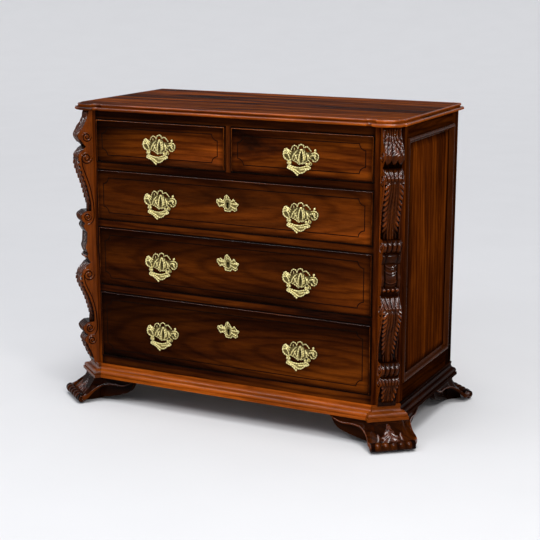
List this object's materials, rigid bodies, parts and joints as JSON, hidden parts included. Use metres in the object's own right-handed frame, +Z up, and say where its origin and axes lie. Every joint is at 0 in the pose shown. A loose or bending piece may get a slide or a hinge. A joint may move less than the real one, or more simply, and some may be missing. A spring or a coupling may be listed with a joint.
{
  "type": "chest of drawers",
  "caption": "Rosewood chest of drawers with canted carved corner trusses, a moulded top, diagonal scroll feet and pierced brass bail handles.",
  "frame": {"origin": "on the floor, under the middle of the chest", "axes": "+X to the right as seen from the front, +Y to the back, +Z up"},
  "size_m": [1.2862, 0.737, 1],
  "materials": {
    "rosewood": "polished",
    "secondary_wood": "planed",
    "brass": "satin",
    "iron": "matte"
  },
  "bodies": {
    "case": {"back_boards": "secondary_wood", "base_block_left": "rosewood", "base_block_right": "rosewood", "base_moulding_front": "rosewood", "base_moulding_left": "rosewood", "base_moulding_right": "rosewood", "bottom_board": "secondary_wood", "corner_truss_left": "rosewood", "corner_truss_right": "rosewood", "drawer_divider": "rosewood", "drawer_runners": "secondary_wood", "foot_front_left": "rosewood", "foot_front_right": "rosewood", "foot_rear_left": "rosewood", "foot_rear_right": "rosewood", "front_post_left": "rosewood", "front_post_right": "rosewood", "front_rails": "rosewood", "panel_moulding_left": "rosewood", "panel_moulding_right": "rosewood", "rear_post_left": "rosewood", "rear_post_right": "rosewood", "side_panel_left": "rosewood", "side_panel_right": "rosewood", "side_rails_left": "rosewood", "side_rails_right": "rosewood", "top_board": "rosewood"},
    "drawer_long_bottom": {"drawer_front_long_bottom": "rosewood", "drawer_box_long_bottom": "secondary_wood", "handle_plates_long_bottom": "brass", "escutcheon_long_bottom": "brass", "lock_long_bottom": "iron"},
    "bail_long_bottom_left": {"bail_long_bottom_left": "brass"},
    "bail_long_bottom_right": {"bail_long_bottom_right": "brass"},
    "lock_bolt_long_bottom": {"lock_bolt_long_bottom": "iron"},
    "drawer_long_middle": {"drawer_front_long_middle": "rosewood", "drawer_box_long_middle": "secondary_wood", "handle_plates_long_middle": "brass", "escutcheon_long_middle": "brass", "lock_long_middle": "iron"},
    "bail_long_middle_left": {"bail_long_middle_left": "brass"},
    "bail_long_middle_right": {"bail_long_middle_right": "brass"},
    "lock_bolt_long_middle": {"lock_bolt_long_middle": "iron"},
    "drawer_long_top": {"drawer_front_long_top": "rosewood", "drawer_box_long_top": "secondary_wood", "handle_plates_long_top": "brass", "escutcheon_long_top": "brass", "lock_long_top": "iron"},
    "bail_long_top_left": {"bail_long_top_left": "brass"},
    "bail_long_top_right": {"bail_long_top_right": "brass"},
    "lock_bolt_long_top": {"lock_bolt_long_top": "iron"},
    "drawer_short_left": {"drawer_front_short_left": "rosewood", "drawer_box_short_left": "secondary_wood", "handle_plates_short_left": "brass"},
    "bail_short_left": {"bail_short_left": "brass"},
    "drawer_short_right": {"drawer_front_short_right": "rosewood", "drawer_box_short_right": "secondary_wood", "handle_plates_short_right": "brass"},
    "bail_short_right": {"bail_short_right": "brass"}
  },
  "joints": [
    {"name": "drawer_long_bottom_slide", "type": "slide", "parent": "case", "child": "drawer_long_bottom", "axis": [0, -1, 0], "range_m": [0, 0.38]},
    {"name": "bail_long_bottom_left_swing", "type": "hinge", "parent": "drawer_long_bottom", "child": "bail_long_bottom_left", "pos_m": [-0.247, -0.288, 0.242], "axis": [-1, 0, 0], "range_deg": [0, 95]},
    {"name": "bail_long_bottom_right_swing", "type": "hinge", "parent": "drawer_long_bottom", "child": "bail_long_bottom_right", "pos_m": [0.247, -0.288, 0.242], "axis": [-1, 0, 0], "range_deg": [0, 95]},
    {"name": "lock_bolt_long_bottom_throw", "type": "slide", "parent": "drawer_long_bottom", "child": "lock_bolt_long_bottom", "axis": [0, 0, 1], "range_m": [0, 0.009]},
    {"name": "drawer_long_middle_slide", "type": "slide", "parent": "case", "child": "drawer_long_middle", "axis": [0, -1, 0], "range_m": [0, 0.38]},
    {"name": "bail_long_middle_left_swing", "type": "hinge", "parent": "drawer_long_middle", "child": "bail_long_middle_left", "pos_m": [-0.247, -0.288, 0.4745], "axis": [-1, 0, 0], "range_deg": [0, 95]},
    {"name": "bail_long_middle_right_swing", "type": "hinge", "parent": "drawer_long_middle", "child": "bail_long_middle_right", "pos_m": [0.247, -0.288, 0.4745], "axis": [-1, 0, 0], "range_deg": [0, 95]},
    {"name": "lock_bolt_long_middle_throw", "type": "slide", "parent": "drawer_long_middle", "child": "lock_bolt_long_middle", "axis": [0, 0, 1], "range_m": [0, 0.009]},
    {"name": "drawer_long_top_slide", "type": "slide", "parent": "case", "child": "drawer_long_top", "axis": [0, -1, 0], "range_m": [0, 0.38]},
    {"name": "bail_long_top_left_swing", "type": "hinge", "parent": "drawer_long_top", "child": "bail_long_top_left", "pos_m": [-0.247, -0.288, 0.679], "axis": [-1, 0, 0], "range_deg": [0, 95]},
    {"name": "bail_long_top_right_swing", "type": "hinge", "parent": "drawer_long_top", "child": "bail_long_top_right", "pos_m": [0.247, -0.288, 0.679], "axis": [-1, 0, 0], "range_deg": [0, 95]},
    {"name": "lock_bolt_long_top_throw", "type": "slide", "parent": "drawer_long_top", "child": "lock_bolt_long_top", "axis": [0, 0, 1], "range_m": [0, 0.009]},
    {"name": "drawer_short_left_slide", "type": "slide", "parent": "case", "child": "drawer_short_left", "axis": [0, -1, 0], "range_m": [0, 0.38]},
    {"name": "bail_short_left_swing", "type": "hinge", "parent": "drawer_short_left", "child": "bail_short_left", "pos_m": [-0.24775, -0.288, 0.856], "axis": [-1, 0, 0], "range_deg": [0, 95]},
    {"name": "drawer_short_right_slide", "type": "slide", "parent": "case", "child": "drawer_short_right", "axis": [0, -1, 0], "range_m": [0, 0.38]},
    {"name": "bail_short_right_swing", "type": "hinge", "parent": "drawer_short_right", "child": "bail_short_right", "pos_m": [0.24775, -0.288, 0.856], "axis": [-1, 0, 0], "range_deg": [0, 95]}
  ]
}
